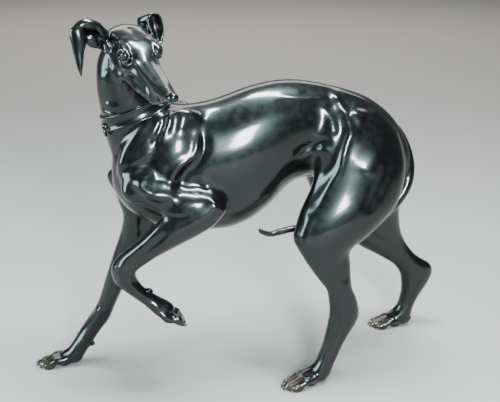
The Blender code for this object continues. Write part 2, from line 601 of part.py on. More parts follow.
def main():
    for item in list(bpy.data.objects):
        bpy.data.objects.remove(item)
    body = lighten(cast(VOXEL), TRIANGLES)
    stand(body)
    mesh = bpy.data.meshes.new("greyhound")
    body.to_mesh(mesh)
    body.free()
    mesh.transform(Matrix.Scale(SHARE, 4))
    corners = np.array([vert.co for vert in mesh.vertices])
    middle = (corners.min(axis=0) + corners.max(axis=0)) / 2
    mesh.transform(Matrix.Translation((-middle[0], -middle[1], 0)))
    item = bpy.data.objects.new("greyhound", mesh)
    folder = bpy.data.collections.new("greyhound statue")
    bpy.context.scene.collection.children.link(folder)
    folder.objects.link(item)
    mesh.materials.append(bronze())
    mesh.shade_smooth()


main()
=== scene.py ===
import math

import bmesh
import bpy
import numpy as np
from mathutils import Matrix, Quaternion, Vector


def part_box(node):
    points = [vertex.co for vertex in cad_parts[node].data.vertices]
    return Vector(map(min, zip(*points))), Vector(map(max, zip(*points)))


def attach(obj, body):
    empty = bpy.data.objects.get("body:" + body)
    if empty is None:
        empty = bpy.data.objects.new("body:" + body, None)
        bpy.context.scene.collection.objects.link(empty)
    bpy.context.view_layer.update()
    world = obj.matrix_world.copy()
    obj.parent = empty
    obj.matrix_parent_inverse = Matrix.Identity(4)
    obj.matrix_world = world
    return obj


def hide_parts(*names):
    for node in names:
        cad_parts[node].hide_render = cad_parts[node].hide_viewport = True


# A life-size greyhound in dark bronze. It is drawn in millimetres, with the floor at 0,
# -X ahead of it and -Y on its left, which is the side near the camera.

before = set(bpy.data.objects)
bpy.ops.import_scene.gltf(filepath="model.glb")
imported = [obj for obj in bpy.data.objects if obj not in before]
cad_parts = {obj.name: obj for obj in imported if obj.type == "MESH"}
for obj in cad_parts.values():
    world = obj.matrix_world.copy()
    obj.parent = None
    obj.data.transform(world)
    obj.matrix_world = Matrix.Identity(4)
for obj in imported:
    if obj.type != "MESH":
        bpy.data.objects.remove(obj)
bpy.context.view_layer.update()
dogLow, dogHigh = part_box("greyhound")
print("frame loaded")

leftSide = -1
rightSide = 1
bothSides = (-1, 1)         # factors that mirror what is drawn once


# drawing tools

def flow(rows, steps=6):
    # a smooth curve through rows of numbers, read at even steps
    rows = np.array(rows, float)
    before = np.vstack([2 * rows[0] - rows[1], rows[:-1]])
    after = np.vstack([rows[1:], 2 * rows[-1] - rows[-2]])
    slope = (after - before) / 2
    out = []
    for i in range(len(rows) - 1):
        for k in range(steps):
            t = k / steps
            out.append((2 * t ** 3 - 3 * t ** 2 + 1) * rows[i] + (t ** 3 - 2 * t ** 2 + t) * slope[i]
                       + (3 * t ** 2 - 2 * t ** 3) * rows[i + 1] + (t ** 3 - t ** 2) * slope[i + 1])
    out.append(rows[-1])
    return np.array(out)


def ringPoints(centre, out, side, egg=0.0, count=48):
    # one closed round section, which egg widens towards out
    angles = np.arange(count) * 2 * math.pi / count
    u, v = np.cos(angles), np.sin(angles)
    return centre + np.outer(u, out) + np.outer(v * (1 + egg * u), side)


def skinRings(rings):
    # a closed body through sections of equal count
    body = bmesh.new()
    loops = [[body.verts.new([float(c) for c in p]) for p in section] for section in rings]
    for one, two in zip(loops, loops[1:]):
        for k in range(len(one)):
            n = (k + 1) % len(one)
            body.faces.new((one[k], one[n], two[n], two[k]))
    body.faces.new(loops[0][::-1])
    body.faces.new(loops[-1])
    bmesh.ops.recalc_face_normals(body, faces=body.faces)
    if body.calc_volume(signed=True) < 0:
        bmesh.ops.reverse_faces(body, faces=body.faces)
    return body


def edgeLoft(rows):
    # between two drawn edges: front x, front z, back x, back z, y and half width
    rings = []
    for frontX, frontZ, backX, backZ, y, half in flow(rows):
        front = np.array([frontX, y, frontZ])
        back = np.array([backX, y, backZ])
        rings.append(ringPoints((front + back) / 2, (front - back) / 2, np.array([0, half, 0])))
    return skinRings(rings)


def tubeAlong(rows, up=(0, 0, 1), steps=6, count=32):
    # round a path: x, y, z, radius
    rows = flow(rows, steps)
    heading = np.gradient(rows[:, :3], axis=0)
    rings = []
    for row, ahead in zip(rows, heading):
        ahead = ahead / np.linalg.norm(ahead)
        side = np.cross(ahead, up)
        side = side / np.linalg.norm(side)
        rings.append(ringPoints(row[:3], np.cross(side, ahead) * row[3], side * row[3], count=count))
    return skinRings(rings)


def ellipsoid(centre, along, halfSizes, fine=1):
    # its first half size lies along the given direction
    body = bmesh.new()
    bmesh.ops.create_uvsphere(body, u_segments=28 * fine, v_segments=16 * fine, radius=1)
    turn = Vector(along).to_track_quat("X", "Z").to_matrix().to_4x4()
    body.transform(Matrix.Translation(centre) @ turn @ Matrix.Diagonal((*halfSizes, 1)))
    return body


def muscle(start, end, radius):
    # an ellipsoid that reaches from one point to another
    start, end = Vector(start), Vector(end)
    along = end - start
    return ellipsoid((start + end) / 2, along, (along.length / 2, radius, radius))


def moved(body, place):
    body.transform(place)
    return body


def settled(item):
    # the shape that an object's modifiers make
    bpy.context.view_layer.update()
    seen = item.evaluated_get(bpy.context.evaluated_depsgraph_get())
    mesh = bpy.data.meshes.new_from_object(seen)
    result = bmesh.new()
    result.from_mesh(mesh)
    bpy.data.meshes.remove(mesh)
    old = item.data
    bpy.data.objects.remove(item)
    bpy.data.meshes.remove(old)
    return result


def joined(bodies):
    whole = bmesh.new()
    for body in bodies:
        mesh = bpy.data.meshes.new("part of it")
        body.to_mesh(mesh)
        body.free()
        whole.from_mesh(mesh)
        bpy.data.meshes.remove(mesh)
    return whole


def fused(bodies, grain, soften):
    # bodies grown into one skin of the given grain, then softened over the given distance
    whole = joined(bodies)
    mesh = bpy.data.meshes.new("skin")
    whole.to_mesh(mesh)
    whole.free()
    item = bpy.data.objects.new("skin", mesh)
    bpy.context.scene.collection.objects.link(item)
    skin = item.modifiers.new("skin", "REMESH")
    skin.mode = "VOXEL"
    skin.voxel_size = grain
    # one pass reaches half a cell, so their number grows with the square of the distance
    smooth = item.modifiers.new("smooth", "SMOOTH")
    smooth.factor = 0.5
    smooth.iterations = max(1, round(4 * soften * soften / (grain * grain)))
    return settled(item)


carvingFade = {
    "facingFrom": 0.05, "facingOver": 0.45,     # skin that faces away isn't carved
    "ends": 0.25, "endHeight": 0.1,             # how much of an open line fades, and to what share
}


def carve(skin, lines, right, up, toward, origin=(0, 0, 0), least=-1000, most=1000):
    # lines drawn as seen from one side: points, width, height (below 0 it sinks);
    # only skin that faces that side moves, and only between two distances from the origin
    skin.normal_update()
    origin, right, up, toward = (np.array(v, float) for v in (origin, right, up, toward))
    points = np.array([v.co for v in skin.verts]) - origin
    normals = np.array([v.normal for v in skin.verts])
    flat = np.stack([points @ right, points @ up], axis=1)
    facing = np.clip((normals @ toward - carvingFade["facingFrom"]) / carvingFade["facingOver"], 0, 1)
    facing = facing * facing * (3 - 2 * facing) * (points @ toward > least) * (points @ toward < most)
    rows = np.nonzero(facing > 0)[0]
    flat, push = flat[rows], np.zeros(len(rows))
    for line, width, height in lines:
        path = flow(line, 5)
        near = np.full(len(rows), np.inf)
        along = np.zeros(len(rows))
        for i, (a, b) in enumerate(zip(path, path[1:])):
            step = b - a
            t = np.clip((flat - a) @ step / (step @ step), 0, 1)
            gap = np.linalg.norm(flat - a - t[:, None] * step, axis=1)
            closer = gap < near
            near = np.where(closer, gap, near)
            along = np.where(closer, (i + t) / (len(path) - 1), along)
        ends = np.clip(np.minimum(along, 1 - along) / carvingFade["ends"], 0, 1)
        rest = carvingFade["endHeight"]
        fade = 1 if line[0] == line[-1] else rest + (1 - rest) * ends * ends * (3 - 2 * ends)
        push += height * fade * np.exp(-(near / width) ** 2)
    shift = normals[rows] * (push * facing[rows])[:, None]
    skin.verts.ensure_lookup_table()
    for row, move in zip(rows, shift):
        skin.verts[row].co += Vector(move)


# trunk: x, middle z, reach up, reach down, half width

trunkShape = {
    "egg": 0.12,
    "sections": [
        (-330, 545, 30, 30, 28), (-318, 550, 62, 58, 50), (-295, 560, 95, 100, 66),
        (-255, 575, 115, 145, 78), (-200, 585, 121, 178, 86), (-140, 590, 120, 190, 94),
        (-90, 592, 125, 196, 99), (-50, 595, 134, 196, 101), (-5, 600, 144, 184, 99),
        (40, 610, 144, 164, 93), (81, 622, 136, 133, 84), (113, 635, 122, 125, 77),
        (146, 640, 112, 126, 72), (190, 635, 107, 130, 70), (240, 625, 103, 132, 72),
        (290, 608, 100, 130, 73), (335, 585, 92, 120, 68), (368, 562, 80, 105, 56),
        (394, 540, 60, 80, 42), (412, 522, 36, 48, 24)],
}


def makeTrunk():
    rings = []
    for x, z, up, down, half in flow(trunkShape["sections"]):
        centre = np.array([x, 0, z + (up - down) / 2])
        rings.append(ringPoints(centre, np.array([0, 0, (up + down) / 2]), np.array([0, half, 0]),
                                trunkShape["egg"]))
    return skinRings(rings)


# neck and legs: front x, front z, back x, back z, y, half width

neckShape = {
    "edges": [
        (-312, 548, -70, 640, 0, 70), (-324, 585, -105, 690, 0, 69), (-336, 628, -150, 708, 0, 65),
        (-342, 661, -188, 716, -1, 60), (-345, 694, -206, 742, -3, 56), (-351, 742, -222, 775, -6, 53),
        (-351, 788, -234, 806, -10, 52), (-344, 826, -240, 836, -14, 50), (-325, 862, -258, 862, -18, 40)],
    "seam": 5,              # the body's share of the sections; the head takes the rest
}

legShapes = {
    "leftFore": [
        (-122, 528, -78, 482, -106, 32), (-152, 512, -106, 450, -107, 35),
        (-186, 492, -144, 427, -106, 34), (-219, 477, -182, 408, -104, 32),
        (-254, 448, -216, 391, -102, 29), (-283, 421, -243, 377, -100, 26),
        (-311, 399, -266, 361, -97, 24), (-334, 378, -283, 349, -94, 23.5),
        (-348, 355, -291, 338, -92, 24), (-347, 332, -290, 325, -91, 23),
        (-339, 312, -284, 312, -90, 21), (-322, 293, -277, 300, -90, 19.5),
        (-300, 273, -266, 287, -90, 19), (-279, 254, -251, 276, -90, 20),
        (-258, 238, -233, 263, -90, 23), (-240, 222, -214, 250, -90, 24),
        (-226, 210, -202, 236, -90, 20)],
    "rightFore": [
        (-330, 520, -170, 560, 68, 38), (-320, 465, -180, 480, 76, 36),
        (-308, 415, -200, 428, 81, 33), (-316, 368, -237, 350, 86, 29),
        (-334, 318, -268, 297, 89, 26), (-352, 268, -297, 248, 91, 24),
        (-366, 228, -320, 207, 93, 23), (-384, 178, -341, 162, 96, 23.5),
        (-402, 143, -358, 124, 99, 23), (-421, 114, -382, 92, 101, 20),
        (-440, 88, -400, 66, 102, 19), (-458, 62, -419, 38, 103, 21),
        (-474, 42, -434, 16, 103, 24), (-492, 34, -450, 6, 103, 22)],
    "leftHind": [
        (107, 462, 335, 452, -88, 50), (89, 415, 298, 410, -97, 45), (84, 390, 270, 385, -101, 41),
        (95, 366, 240, 369, -105, 36), (110, 340, 226, 348, -107, 30), (127, 313, 229, 315, -109, 27),
        (148, 284, 231, 283, -110, 25), (167, 258, 236, 252, -111, 23), (175, 225, 249, 222, -111, 22),
        (178, 190, 257, 182, -111, 23), (174, 160, 250, 158, -112, 22), (169, 135, 236, 134, -113, 20),
        (163, 107, 219, 105, -114, 19), (152, 76, 205, 72, -115, 19), (141, 52, 193, 44, -116, 21),
        (126, 38, 182, 18, -117, 25), (108, 34, 166, 6, -118, 24)],
    "rightHind": [
        (182, 440, 430, 450, 84, 48), (205, 392, 437, 408, 92, 44), (242, 346, 437, 370, 99, 38),
        (288, 303, 443, 328, 104, 32), (335, 263, 454, 292, 109, 28), (392, 228, 474, 256, 113, 24),
        (437, 197, 508, 217, 116, 22), (460, 166, 552, 186, 118, 23), (467, 136, 560, 158, 119, 22),
        (468, 108, 546, 124, 119, 20), (465, 80, 528, 94, 120, 19), (457, 56, 512, 62, 120, 21),
        (443, 42, 502, 26, 120, 25), (426, 36, 486, 8, 120, 24)],
}

haunchShapes = {
    "left": [
        (158, 700, 300, 684, -42, 30), (142, 655, 345, 640, -52, 44), (140, 605, 364, 590, -60, 54),
        (146, 558, 372, 540, -67, 58), (132, 507, 364, 490, -75, 59), (107, 464, 345, 453, -86, 56),
        (91, 427, 315, 424, -95, 50), (83, 398, 280, 392, -101, 43), (90, 372, 240, 370, -105, 36),
        (105, 348, 226, 348, -107, 30)],
    "right": [
        (158, 700, 320, 690, 42, 30), (138, 655, 375, 640, 52, 44), (132, 605, 412, 590, 60, 54),
        (140, 545, 426, 540, 66, 58), (160, 490, 430, 490, 74, 57), (182, 440, 432, 450, 82, 53),
        (205, 395, 434, 410, 90, 47), (238, 352, 434, 375, 97, 40)],
}


# shoulders: flat forms as centre, heading and half sizes, muscles as two ends and a radius

shoulderShapes = {
    "leftForms": [
        ((-222, -58, 632), (-160, 0, -120), (118, 24, 58)), ((-190, -66, 590), (-60, 0, -140), (82, 32, 62)),
        ((-262, -78, 540), (-90, 0, -26), (56, 30, 36))],
    "leftMuscles": [((-312, -72, 560), (-150, -100, 488), 36), ((-240, -88, 500), (-72, -108, 490), 38)],
    "rightForms": [
        ((-222, 58, 625), (-160, 0, -130), (118, 24, 58)), ((-200, 64, 560), (-60, 0, -140), (80, 32, 58))],
    "rightMuscles": [((-338, 70, 540), (-205, 82, 430), 40), ((-250, 66, 560), (-190, 82, 425), 44)],
}


def makeShoulders():
    bodies = []
    for side in ("left", "right"):
        bodies += [ellipsoid(*form) for form in shoulderShapes[side + "Forms"]]
        bodies += [muscle(*form) for form in shoulderShapes[side + "Muscles"]]
    return bodies


# tail: from the croup, down against the left buttock and forward between the thighs

tailShape = {
    "rootRadius": 22,
    "tipRadius": 5.5,
    "taper": 0.8,           # below 1 it thins early
    "path": [
        (335, 0, 640), (366, -3, 614), (387, -9, 580), (398, -18, 545), (399, -28, 510), (386, -38, 474),
        (352, -46, 434), (300, -52, 404), (225, -52, 388), (158, -50, 390), (104, -52, 399),
        (66, -56, 396), (40, -60, 393), (20, -62, 399), (10, -62, 408)],
}


def makeTail():
    path, root, tip = tailShape["path"], tailShape["rootRadius"], tailShape["tipRadius"]
    rows = []
    for i, point in enumerate(path):
        share = (i / (len(path) - 1)) ** tailShape["taper"]
        rows.append((*point, root + (tip - root) * share))
    return tubeAlong(rows, up=(0, 1, 0))


# paws: heel, turn about the vertical, tip down, roll, length, width, radius of a toe

pawShape = {
    "places": {
        "leftHind": ((160, -117, 0), 192, 0, 0, 105, 58, 8.8),
        "rightHind": ((484, 120, 0), 180, 0, 0, 102, 58, 8.8),
        "rightFore": ((-452, 103, 0), 180, 0, 0, 98, 56, 8.6),
        "leftFore": ((-240, -90, 266), 0, 50, 180, 95, 60, 10)},
    "curl": 4,              # how far the raised paw's toes curl under
    "spread": 0.34, "outerReach": 0.88,
    # a toe from the heel on: share of the paw's length or of the toe's reach, of its spread,
    # height as a share of the paw's length, and share of its radius
    "toeRoot": [(-0.15, 0.5, 0.26, 1.0), (0.18, 0.75, 0.235, 1.0)],
    "toeBack": [(0.40, 0.95, 0.205, 1.0), (0.58, 1.0, 0.19, 1.08)],
    "toeTip": [(0.74, 1.02, 0.13, 0.92), (0.88, 1.04, 0.09, 0.96), (0.98, 1.04, 0.075, 0.7)],
    "toePad": (0.80, 5, 0.15, 9),               # reach, height, half length and half height
    "heelPad": (0.30, 7, 0.20, 0.34, 12),       # the same, with its half width before the last
    "back": (0.10, 0.17, 0.30, 0.42, 0.15),     # the same, with both heights as shares of the length
    # a nail's rows: share of the toe's reach, lengths of a nail past it, spread, height and radius
    "nail": 4,
    "nailRows": [(0.86, 0, 1.04, 0.12, 4.0), (0.97, 0, 1.05, 0.115, 3.8), (0.98, 1, 1.05, 0.085, 2.9),
                 (0.98, 1.6, 1.05, 0.045, 1.5)],
    "wristPads": [(-262, -90, 285), (-408, 101, 54)],
    "padSizes": (10, 9, 8), "padHeading": (1, 0, -1),
}


def pawPlace(name):
    heel, heading, tip, roll = pawShape["places"][name][:4]
    return (Matrix.Translation(heel) @ Matrix.Rotation(math.radians(heading), 4, "Z")
            @ Matrix.Rotation(math.radians(tip), 4, "Y") @ Matrix.Rotation(math.radians(roll), 4, "X"))


def toes(name):
    # the four toes of a paw: their reach, spread and radius, and the length and curl of the paw
    length, width, radius = pawShape["places"][name][4:]
    curl = pawShape["curl"] if name == "leftFore" else 0
    for number in range(4):
        across = (number - 1.5) / 1.5
        reach = length * (1.0 if abs(across) < 0.5 else pawShape["outerReach"])
        yield reach, width * pawShape["spread"] * across, radius, length, curl


def makePaw(name):
    bodies = []
    for reach, spread, radius, length, drop in toes(name):
        rows = []
        for part, unit, low in (("toeRoot", length, 0), ("toeBack", reach, 0), ("toeTip", reach, drop)):
            for ahead, across, height, thick in pawShape[part]:
                rows.append((ahead * unit, spread * across, height * length - low, radius * thick))
        bodies.append(tubeAlong(rows))
        ahead, height, long, high = pawShape["toePad"]
        middle = (ahead * reach, spread, height - drop)
        bodies.append(ellipsoid(middle, (1, 0, 0), (long * length, radius, high)))
    length, width = pawShape["places"][name][4:6]
    ahead, height, long, wide, high = pawShape["heelPad"]
    bodies.append(ellipsoid((ahead * length, 0, height), (1, 0, 0), (long * length, width * wide, high)))
    ahead, height, long, wide, high = pawShape["back"]
    bodies.append(ellipsoid((ahead * length, 0, height * length), (1, 0, 0),
                            (long * length, width * wide, high * length)))
    return [moved(body, pawPlace(name)) for body in bodies]


def makeNails():
    nails = []
    for name in pawShape["places"]:
        for reach, spread, _, length, drop in toes(name):
            rows = [(ahead * reach + past * pawShape["nail"], spread * across, height * length - drop, thick)
                    for ahead, past, across, height, thick in pawShape["nailRows"]]
            nails.append(moved(tubeAlong(rows, count=16), pawPlace(name)))
    return joined(nails)


# head: its own frame lies between the ears, with X ahead, Y left and Z up

headShape = {
    "place": (-280, -13, 857),
    "yaw": 105, "pitch": 15, "roll": 2,
    # ahead, top, then the ridge, the cheek or lip edge and the jaw as half width and height, bottom
    "sections": [
        (-55, -2, 18, -8, 28, -22, 20, -40, -48), (-32, 28, 28, 19, 46, -12, 36, -46, -62),
        (-8, 39, 35, 31, 52, 0, 44, -46, -68), (15, 42, 36, 36, 53, 2, 46, -44, -68),
        (40, 42, 34, 36, 50, -12, 44, -44, -66), (60, 40, 32, 34, 49, -22, 40, -44, -65),
        (80, 37, 30, 31, 46, -22, 37, -45, -64), (97, 30, 27, 25, 41, -18, 33, -46, -64),
        (112, 22, 23, 16, 36, -13, 29, -48, -64), (128, 16, 22, 8.5, 32, -10, 26, -50, -64),
        (145, 13, 21, 4.5, 29, -12, 23, -49, -62), (165, 10.5, 20.5, 2.5, 27, -16, 20.5, -46, -58),
        (185, 8.5, 19.5, 1, 25, -19, 18.5, -44, -54), (198, 7.5, 19, 0, 24, -25, 17, -44, -51),
        (208, 7, 18.5, -1, 22, -38, 15, -45, -48), (220, 6.5, 18, -1.5, 19.5, -40, 13, -42, -44),
        (236, 6.5, 17, -2, 17.5, -31, 11, -34, -36), (252, 7.5, 15.5, -1.5, 15.5, -21, 10, -24, -26),
        (264, 9, 13.5, 0, 14, -12, 9, -15, -17), (275, 11, 12, 3, 12.5, -6, 9, -9, -11),
        (283, 10, 10, 4, 10.5, -2, 7, -6, -7), (287, 6, 6, 3, 6, 0, 4, -2, -3)],
    "overhang": (0.84, 6),  # how far the flesh steps in below the cheek and lip edge
}


def headAxes():
    # ahead, left and up of the turned head
    yaw, pitch, roll = (math.radians(headShape[k]) for k in ("yaw", "pitch", "roll"))
    ahead = np.array([-math.cos(yaw) * math.cos(pitch), -math.sin(yaw) * math.cos(pitch), -math.sin(pitch)])
    left = np.cross((0, 0, 1), ahead)
    left = left / np.linalg.norm(left)
    up = np.cross(ahead, left)
    return ahead, left * math.cos(roll) + up * math.sin(roll), up * math.cos(roll) - left * math.sin(roll)


def headPlace():
    return Matrix.Translation(headShape["place"]) @ Matrix(headAxes()).transposed().to_4x4()


def fromHead(direction):
    # a direction in the head's frame, as the dog's
    return np.array(direction, float) @ np.array(headAxes())


def closedFlow(points, count):
    # a smooth closed outline through points, read at an even number of places
    points = np.array(points, float)
    wrapped = np.vstack([points[-1:], points, points[:2]])
    line = flow(wrapped, 8)[8:-8]
    length = np.concatenate([[0], np.cumsum(np.linalg.norm(np.diff(line, axis=0), axis=1))])
    wanted = np.linspace(0, length[-1], count, endpoint=False)
    return np.stack([np.interp(wanted, length, line[:, k]) for k in range(line.shape[1])], axis=1)


def makeSkull():
    narrow, lower = headShape["overhang"]
    rings = []
    for ahead, top, ridge, ridgeUp, edge, edgeUp, jaw, jawUp, bottom in flow(headShape["sections"]):
        half = [(ridge, ridgeUp), ((ridge + edge) / 2, (ridgeUp + edgeUp) / 2), (edge, edgeUp),
                (edge * narrow, max(edgeUp - lower, (edgeUp + jawUp) / 2)), (jaw, jawUp)]
        outline = [(0, top), *half, (0, bottom), *((-w, u) for w, u in reversed(half))]
        rings.append([(ahead, y, z) for y, z in closedFlow(outline, 72)])
    return skinRings(rings)


# eyes: a ball in a socket with a rolled lid round it

eyeShape = {
    "place": (95, 36, 14), "aim": (0.62, 0.76, 0.18), "radius": 10.5,
    "pupilSizes": (3, 3.4, 3.4), "pupilDepth": 2,
    "proud": 5, "lidReach": 13.4, "lidRadius": 3.4, "socketReach": 20,
    "oval": (1.08, 0.96),   # how far the lids are drawn out across and up
}


def eyeAxes(side):
    # which way the eye looks, across and up in its own plane, and its centre, in the head's frame
    aim = np.array(eyeShape["aim"]) * (1, side, 1)
    aim = aim / np.linalg.norm(aim)
    across = np.cross(aim, (0, 0, 1))
    across = across / np.linalg.norm(across)
    return aim, across, np.cross(across, aim), np.array(eyeShape["place"]) * (1, side, 1)


def makeLids(side):
    aim, across, lift, centre = eyeAxes(side)
    wide, high = eyeShape["oval"]
    rows = []
    for k in range(19):
        angle = 2 * math.pi * k / 18
        out = across * math.cos(angle) * wide + lift * math.sin(angle) * high
        point = centre + aim * eyeShape["proud"] + eyeShape["lidReach"] * out
        rows.append((*point, eyeShape["lidRadius"]))
    return tubeAlong(rows, up=tuple(aim), steps=2, count=12)


def makeEyes():
    balls = []
    radius = eyeShape["radius"]
    for side in bothSides:
        aim, _, _, centre = eyeAxes(side)
        pupil = centre + aim * (radius - eyeShape["pupilDepth"])
        balls.append(moved(ellipsoid(tuple(centre), tuple(aim), (radius,) * 3, 2), headPlace()))
        balls.append(moved(ellipsoid(tuple(pupil), tuple(aim), eyeShape["pupilSizes"]), headPlace()))
    return joined(balls)


# small forms of the face and the flesh that carries the cheek into the neck:
# place, heading and half sizes on the left, mirrored to the right

faceShape = {
    "brow": ((78, 33, 28), (1, 0.16, -0.12), (30, 11, 6)),
    "cheekbone": ((74, 42, -18), (1, -0.16, 0.05), (30, 6, 6)),
    "ear root": ((27, 50, 6), (0.3, -0.25, -1), (18, 5, 6)),
}

throatShape = {
    "jaw muscle": ((50, 34, -42), (1, -0.1, 0.12), (40, 14, 22)),
    "behind the jaw": ((16, 40, -40), (0.2, 0, -1), (44, 14, 22)),
    "throat": ((48, 26, -78), (0.6, 0, -1), (36, 16, 24)),
}


def mirrored(forms, side):
    flip = (1, side, 1)
    return [ellipsoid(np.array(place) * flip, np.array(along) * flip, halfSizes)
            for place, along, halfSizes in forms.values()]


def makeFace():
    bodies = []
    for side in bothSides:
        bodies += mirrored(faceShape, side)
        bodies.append(makeLids(side))
    return bodies


def makeThroat():
    return [body for side in bothSides for body in mirrored(throatShape, side)]


# ears: leaves between two edges, each row an edge, the other edge, bulge and thickness;
# a bulge above 0 is rounded towards the muzzle and one below 0 is hollow there

earShapes = {
    "rightFlap": [
        ((8, -116, 54), (12, -98, 54), 3, 9), ((10, -127, 45), (18, -100, 44), 5, 12),
        ((13, -129, 34), (24, -97, 29), 6, 12), ((21, -127, 16), (28, -100, 14), 5, 11),
        ((26, -126, 2), (32, -105, 2), 4, 10), ((34, -124, -14), (40, -109, -16), 3, 8),
        ((42, -122, -30), (45, -113, -31), 2, 6), ((49, -119, -44), (50, -116, -45), 0, 3)],
    # the rolled upper rim as a tube: ahead, left, up, radius
    "rightRoll": [
        (6, -36, 18, 12), (8, -50, 27, 10), (10, -61, 38, 10), (9, -70, 49, 10), (8, -82, 53, 12),
        (8, -96, 54, 12), (10, -108, 49, 11), (13, -116, 40, 9)],
    "rightCup": [
        ((6, -40, 16), (14, -50, -10), -5, 11), ((8, -60, 32), (16, -66, -2), -7, 8),
        ((8, -78, 47), (16, -80, 3), -10, 7), ((8, -94, 50), (18, -92, 10), -9, 7),
        ((14, -106, 42), (22, -98, 22), -4, 7)],
    "rightLobe": ((22, -84, 20), (0.1, 0.75, -0.62), (19, 7, 13)),
    "leftCup": [
        ((14, 46, -8), (16, 64, -12), -3, 11), ((22, 58, 4), (20, 75, -2), -7, 9),
        ((18, 54, 18), (15, 80, 11), -13, 8), ((10, 48, 34), (10, 82, 30), -18, 8),
        ((4, 47, 46), (5, 79, 48), -17, 8), ((0, 51, 55), (1, 73, 59), -10, 8),
        ((-3, 57, 61), (-2, 65, 63), -2, 6)],
    "leftTip": [
        ((-2, 60, 61), (-2, 54, 40), 4, 9), ((-9, 53, 57), (-8, 48, 34), 5, 9),
        ((-18, 44, 51), (-17, 42, 28), 4, 8), ((-25, 39, 46), (-24, 38, 26), 2, 7),
        ((-30, 35, 42), (-29, 35, 26), 0, 6)],
    "leftRoot": [
        (-6, 30, 14, 16), (-8, 44, 20, 15), (-10, 58, 26, 11)],
}


def makeLeaf(rows):
    # an ear's leaf between two edges, with walls square to its bulge
    rows = flow([(*one, *two, bulge, thick) for one, two, bulge, thick in rows])
    rings = []
    headings = np.gradient((rows[:, :3] + rows[:, 3:6]) / 2, axis=0)
    for row, heading in zip(rows, headings):
        one, two, bulge, thick = row[:3], row[3:6], row[6], row[7]
        half = np.linalg.norm(two - one) / 2
        across = (two - one) / 2 / half
        face = np.cross(across, heading)
        face = face / np.linalg.norm(face)
        if face[0] < 0:
            face = -face
        points = []
        for k in range(48):
            angle = 2 * math.pi * k / 48
            u = math.cos(angle)
            v = math.copysign(abs(math.sin(angle)) ** 0.5, math.sin(angle))
            wall = across * 2 * bulge * u + face * half
            wall = wall / np.linalg.norm(wall) * thick / 2 * v
            points.append((one + two) / 2 + across * half * u + face * bulge * (1 - u * u) + wall)
        rings.append(points)
    return skinRings(rings)


def makeEars():
    return [makeLeaf(earShapes["rightFlap"]), tubeAlong(earShapes["rightRoll"], up=(1, 0, 0.2)),
            makeLeaf(earShapes["rightCup"]), ellipsoid(*earShapes["rightLobe"]),
            makeLeaf(earShapes["leftCup"]), makeLeaf(earShapes["leftTip"]),
            tubeAlong(earShapes["leftRoot"], up=(1, 0, 0.2))]


# collar: the neck's own section, set out by its thickness, with rounded edges

collarShape = {
    "width": 32, "proud": 4.0,
    # across the band and out of it, as shares of half its width and of its thickness
    "section": [(-1, -0.6), (-1, 0.5), (-0.96, 1.1), (-0.86, 1.3), (-0.76, 1.05), (-0.66, 0.75), (0, 0.85),
                (0.66, 0.75), (0.76, 1.05), (0.86, 1.3), (0.96, 1.1), (1, 0.5), (1, -0.6)],
    "ring": (-341, -32, 664), "ringRadius": 10, "ringWire": 3.2, "ringLean": 0.3,
    "knob": (-339, -30, 676), "knobSizes": (9, 8, 7), "knobHeading": (0, 1, 0.3),
}


def makeCollar():
    # between the fourth and fifth sections of the neck
    low, high = (np.array(row, float) for row in neckShape["edges"][3:5])
    rise = (high - low)[:4].reshape(2, 2).mean(axis=0)
    reach = (high - low) / 2 * collarShape["width"] / np.linalg.norm(rise)
    rings = []
    for step, share in collarShape["section"]:
        row = (low + high) / 2 + reach * step
        proud = collarShape["proud"] * share
        front, back = np.array([row[0], row[4], row[1]]), np.array([row[2], row[4], row[3]])
        out = (front - back) / 2
        out = out * (1 + proud / np.linalg.norm(out))
        rings.append(ringPoints((front + back) / 2, out, np.array([0, row[5] + proud, 0]), count=96))
    x, y, z = collarShape["ring"]
    radius, lean = collarShape["ringRadius"], collarShape["ringLean"]
    wire = []
    for k in range(17):
        angle = 2 * math.pi * k / 16
        ahead, side, up = -lean * math.cos(angle), math.sin(angle), math.cos(angle)
        wire.append((x + radius * ahead, y + radius * side, z + radius * up, collarShape["ringWire"]))
    return joined([skinRings(rings), tubeAlong(wire, up=(1, 0, 0.3), steps=3, count=16),
                   ellipsoid(collarShape["knob"], collarShape["knobHeading"], collarShape["knobSizes"])])


# carving on the body, drawn from the side in x and z: points, width, height

